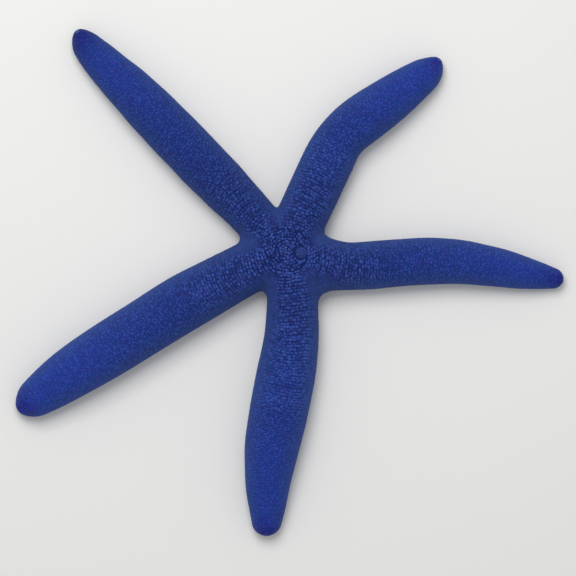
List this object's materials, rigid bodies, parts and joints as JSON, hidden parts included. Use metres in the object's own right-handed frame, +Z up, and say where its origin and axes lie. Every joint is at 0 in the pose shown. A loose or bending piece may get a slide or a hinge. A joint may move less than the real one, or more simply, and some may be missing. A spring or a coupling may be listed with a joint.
{
  "type": "blue sea star",
  "caption": "Blue sea star lying mouth down: a small round disc with long round arms that bend over the floor, a madreporite on top, and a furrow under each arm.",
  "frame": {"origin": "on the floor, under the middle of the body's box", "axes": "+Z up from the floor, +X along the body's longest extent; the arms point to about 134, 65, 0, -95 and -150 degrees from +X"},
  "size_m": [0.2186, 0.2024, 0.0189],
  "materials": {
    "skin": "tough granular skin, deep blue, velvety",
    "madreporite": "chalky furrowed plate, grey blue",
    "mouth": "soft pale membrane, tan",
    "eye": "moist, red"
  },
  "bodies": {
    "root": {"disc": "skin", "madreporite": "madreporite", "mouth": "mouth", "arm_1_base": "skin", "arm_1_middle": "skin", "arm_1_tip": "skin", "arm_1_eye": "eye", "arm_2_base": "skin", "arm_2_middle": "skin", "arm_2_tip": "skin", "arm_2_eye": "eye", "arm_3_base": "skin", "arm_3_middle": "skin", "arm_3_tip": "skin", "arm_3_eye": "eye", "arm_4_base": "skin", "arm_4_middle": "skin", "arm_4_tip": "skin", "arm_4_eye": "eye", "arm_5_base": "skin", "arm_5_middle": "skin", "arm_5_tip": "skin", "arm_5_eye": "eye"}
  },
  "joints": []
}
